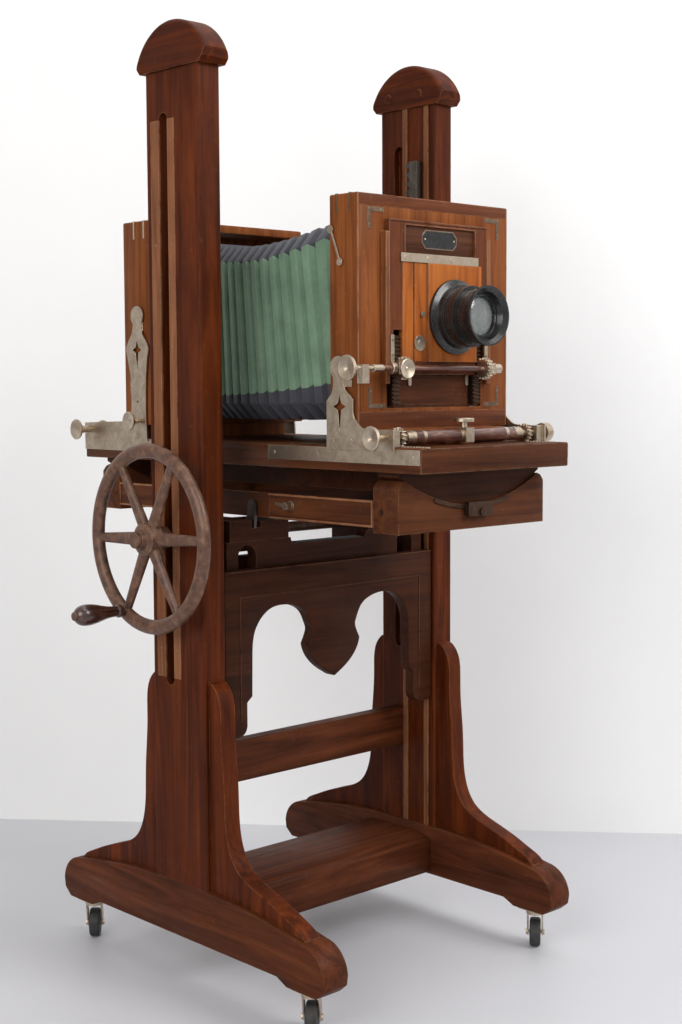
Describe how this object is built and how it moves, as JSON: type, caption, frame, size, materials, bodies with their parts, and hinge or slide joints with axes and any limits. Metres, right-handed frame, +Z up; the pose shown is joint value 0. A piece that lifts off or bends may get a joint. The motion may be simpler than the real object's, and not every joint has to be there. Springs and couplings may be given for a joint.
{
  "type": "studio view camera on lifting stand",
  "caption": "Wooden studio view camera with pleated bellows on a rolling double-column stand, raised by a handwheel, rack and pinion.",
  "frame": {"origin": "centre of the whole object's footprint at the floor", "axes": "+Z up, the lens looks along -Y, the handwheel is on the -X side"},
  "size_m": [0.7298, 0.8605, 1.5599],
  "materials": {
    "dark_mahogany": "old dark varnish",
    "mahogany": "varnished reddish orange",
    "pale_wood": "worn",
    "turned_wood": "dark polish",
    "dark_steel": "oiled",
    "iron_paint": "worn red-brown paint",
    "nickel": "aged nickel plate",
    "black_enamel": "black lacquer",
    "optical_glass": "polished",
    "ground_glass": "ground",
    "bellows_cloth": "waxed bookcloth",
    "tyre": "matt"
  },
  "bodies": {
    "stand": {"column_left": "dark_mahogany", "column_right": "dark_mahogany", "column_caps": "dark_mahogany", "guide_strips": "pale_wood", "lift_racks": "dark_steel", "runners": "dark_mahogany", "foot_braces": "dark_mahogany", "stretchers": "dark_mahogany", "caster_plates": "nickel"},
    "carriage": {"apron": "dark_mahogany", "carriage_frame": "dark_mahogany", "bearing_blocks": "dark_mahogany", "tilt_ears": "dark_steel"},
    "handwheel": {"handwheel": "iron_paint", "lift_shaft": "dark_steel"},
    "wheel_grip": {"wheel_grip": "turned_wood"},
    "cradle": {"cradle_front": "dark_mahogany", "cradle_rear": "dark_mahogany", "platform_rails": "dark_mahogany", "cradle_fittings": "nickel"},
    "roll_clamp_screw": {"roll_clamp_screw": "nickel"},
    "wing_screw": {"wing_screw": "nickel"},
    "bed": {"bed_board": "mahogany", "bed_racks": "nickel", "bed_rails": "nickel", "roll_segments": "dark_mahogany"},
    "front_standard": {"front_box": "mahogany", "front_brackets": "nickel", "front_trim": "nickel", "lower_panel": "mahogany", "rise_racks": "nickel", "focus_clamp_block": "nickel", "bellows_front": "bellows_cloth"},
    "front_rod": {"front_focus_rod": "nickel"},
    "focus_clamp_screw": {"focus_clamp_screw": "nickel"},
    "side_hook": {"side_hook": "nickel"},
    "turn_button_left": {"turn_button_left": "nickel"},
    "turn_button_right": {"turn_button_right": "nickel"},
    "rising_front": {"rising_frame": "mahogany", "lens_board": "mahogany", "rise_fittings": "nickel", "lens_barrel": "black_enamel", "lens_glass": "optical_glass"},
    "rise_rod": {"rise_shaft": "nickel"},
    "aperture_ring": {"aperture_ring": "black_enamel"},
    "rear_standard": {"rear_box": "mahogany", "rear_brackets": "nickel", "bellows_rear": "bellows_cloth"},
    "rear_rod": {"rear_focus_rod": "nickel"},
    "rear_lock_knob": {"rear_lock_knob": "nickel"},
    "glass_back": {"back_frame": "mahogany", "ground_glass": "ground_glass"},
    "caster_fork_1": {"caster_fork_1": "nickel"},
    "caster_wheel_1": {"caster_wheel_1": "tyre"},
    "caster_fork_2": {"caster_fork_2": "nickel"},
    "caster_wheel_2": {"caster_wheel_2": "tyre"},
    "caster_fork_3": {"caster_fork_3": "nickel"},
    "caster_wheel_3": {"caster_wheel_3": "tyre"},
    "caster_fork_4": {"caster_fork_4": "nickel"},
    "caster_wheel_4": {"caster_wheel_4": "tyre"}
  },
  "joints": [
    {"name": "carriage_lift", "type": "slide", "parent": "stand", "child": "carriage", "axis": [0, 0, 1], "range_m": [-0.225, 0.62]},
    {"name": "handwheel_turn", "type": "hinge", "parent": "carriage", "child": "handwheel", "pos_m": [-0.231, 0.022, 0.743], "axis": [1, 0, 0], "range_deg": [-372, 1020]},
    {"name": "grip_spin", "type": "hinge", "parent": "handwheel", "child": "wheel_grip", "pos_m": [-0.311, 0.08503, 0.62192], "axis": [1, 0, 0], "continuous": true},
    {"name": "cradle_tilt", "type": "hinge", "parent": "carriage", "child": "cradle", "pos_m": [0.069, -0.044, 0.793], "axis": [1, 0, 0], "range_deg": [0, 15]},
    {"name": "roll_clamp_turn", "type": "hinge", "parent": "cradle", "child": "roll_clamp_screw", "pos_m": [0.075, -0.39, 0.791], "axis": [0, 1, 0], "range_deg": [-180, 180]},
    {"name": "wing_screw_turn", "type": "hinge", "parent": "cradle", "child": "wing_screw", "pos_m": [-0.101, -0.142, 0.796], "axis": [1, 0, 0], "range_deg": [-90, 90]},
    {"name": "camera_roll", "type": "hinge", "parent": "cradle", "child": "bed", "pos_m": [0.069, 0, 1.1], "axis": [0, 1, 0], "range_deg": [-10, 10]},
    {"name": "front_focus", "type": "slide", "parent": "bed", "child": "front_standard", "axis": [0, 1, 0], "range_m": [-0.05, 0.1], "deforming": ["bellows_front"]},
    {"name": "front_rod_turn", "type": "hinge", "parent": "front_standard", "child": "front_rod", "pos_m": [0.069, -0.36, 0.909], "axis": [1, 0, 0], "range_deg": [-415, 210]},
    {"name": "focus_clamp_turn", "type": "hinge", "parent": "front_standard", "child": "focus_clamp_screw", "pos_m": [0.069, -0.36, 0.93], "axis": [0, 0, 1], "range_deg": [-180, 180]},
    {"name": "side_hook_swing", "type": "hinge", "parent": "front_standard", "child": "side_hook", "pos_m": [-0.103, -0.2425, 1.224], "axis": [1, 0, 0], "range_deg": [0, 45]},
    {"name": "turn_button_left_turn", "type": "hinge", "parent": "front_standard", "child": "turn_button_left", "pos_m": [0.014, -0.295, 1.001], "axis": [0, 1, 0], "range_deg": [-90, 0]},
    {"name": "turn_button_right_turn", "type": "hinge", "parent": "front_standard", "child": "turn_button_right", "pos_m": [0.146, -0.295, 1.001], "axis": [0, 1, 0], "range_deg": [0, 90]},
    {"name": "front_rise", "type": "slide", "parent": "front_standard", "child": "rising_front", "axis": [0, 0, 1], "range_m": [0, 0.035]},
    {"name": "rise_rod_turn", "type": "hinge", "parent": "rising_front", "child": "rise_rod", "pos_m": [0.069, -0.32, 1.013], "axis": [1, 0, 0], "range_deg": [-130, 5]},
    {"name": "aperture_turn", "type": "hinge", "parent": "rising_front", "child": "aperture_ring", "pos_m": [0.099, -0.345, 1.094], "axis": [0, 1, 0], "range_deg": [0, 110]},
    {"name": "rear_focus", "type": "slide", "parent": "bed", "child": "rear_standard", "axis": [0, 1, 0], "range_m": [-0.12, 0.008], "deforming": ["bellows_rear"]},
    {"name": "rear_rod_turn", "type": "hinge", "parent": "rear_standard", "child": "rear_rod", "pos_m": [0.069, 0.412, 0.909], "axis": [1, 0, 0], "range_deg": [-35, 495]},
    {"name": "rear_lock_turn", "type": "hinge", "parent": "rear_standard", "child": "rear_lock_knob", "pos_m": [-0.121, 0.251, 0.926], "axis": [1, 0, 0], "range_deg": [-180, 180]},
    {"name": "back_swing", "type": "hinge", "parent": "rear_standard", "child": "glass_back", "pos_m": [0.069, 0.3062, 0.9275], "axis": [1, 0, 0], "range_deg": [-75, 0]},
    {"name": "caster_swivel_1", "type": "hinge", "parent": "stand", "child": "caster_fork_1", "pos_m": [-0.1958, -0.29, 0.065], "axis": [0, 0, 1], "continuous": true},
    {"name": "caster_roll_1", "type": "hinge", "parent": "caster_fork_1", "child": "caster_wheel_1", "pos_m": [-0.18584, -0.28164, 0.025], "axis": [0.6428, -0.766, 0], "continuous": true},
    {"name": "caster_swivel_2", "type": "hinge", "parent": "stand", "child": "caster_fork_2", "pos_m": [0.3338, -0.29, 0.065], "axis": [0, 0, 1], "continuous": true},
    {"name": "caster_roll_2", "type": "hinge", "parent": "caster_fork_2", "child": "caster_wheel_2", "pos_m": [0.34404, -0.282, 0.025], "axis": [0.6157, -0.788, 0], "continuous": true},
    {"name": "caster_swivel_3", "type": "hinge", "parent": "stand", "child": "caster_fork_3", "pos_m": [-0.1958, 0.29, 0.065], "axis": [0, 0, 1], "continuous": true},
    {"name": "caster_roll_3", "type": "hinge", "parent": "caster_fork_3", "child": "caster_wheel_3", "pos_m": [-0.18744, 0.29996, 0.025], "axis": [0.766, -0.6428, 0], "continuous": true},
    {"name": "caster_swivel_4", "type": "hinge", "parent": "stand", "child": "caster_fork_4", "pos_m": [0.3338, 0.29, 0.065], "axis": [0, 0, 1], "continuous": true},
    {"name": "caster_roll_4", "type": "hinge", "parent": "caster_fork_4", "child": "caster_wheel_4", "pos_m": [0.34283, 0.29935, 0.025], "axis": [0.7193, -0.6947, 0], "continuous": true}
  ],
  "couplings": [
    {"joint": "handwheel_turn", "follows": "carriage_lift", "rad_per_m": 28.571},
    {"joint": "front_rod_turn", "follows": "front_focus", "rad_per_m": -71.429},
    {"joint": "rear_rod_turn", "follows": "rear_focus", "rad_per_m": -71.429},
    {"joint": "rise_rod_turn", "follows": "front_rise", "rad_per_m": -62.5}
  ]
}
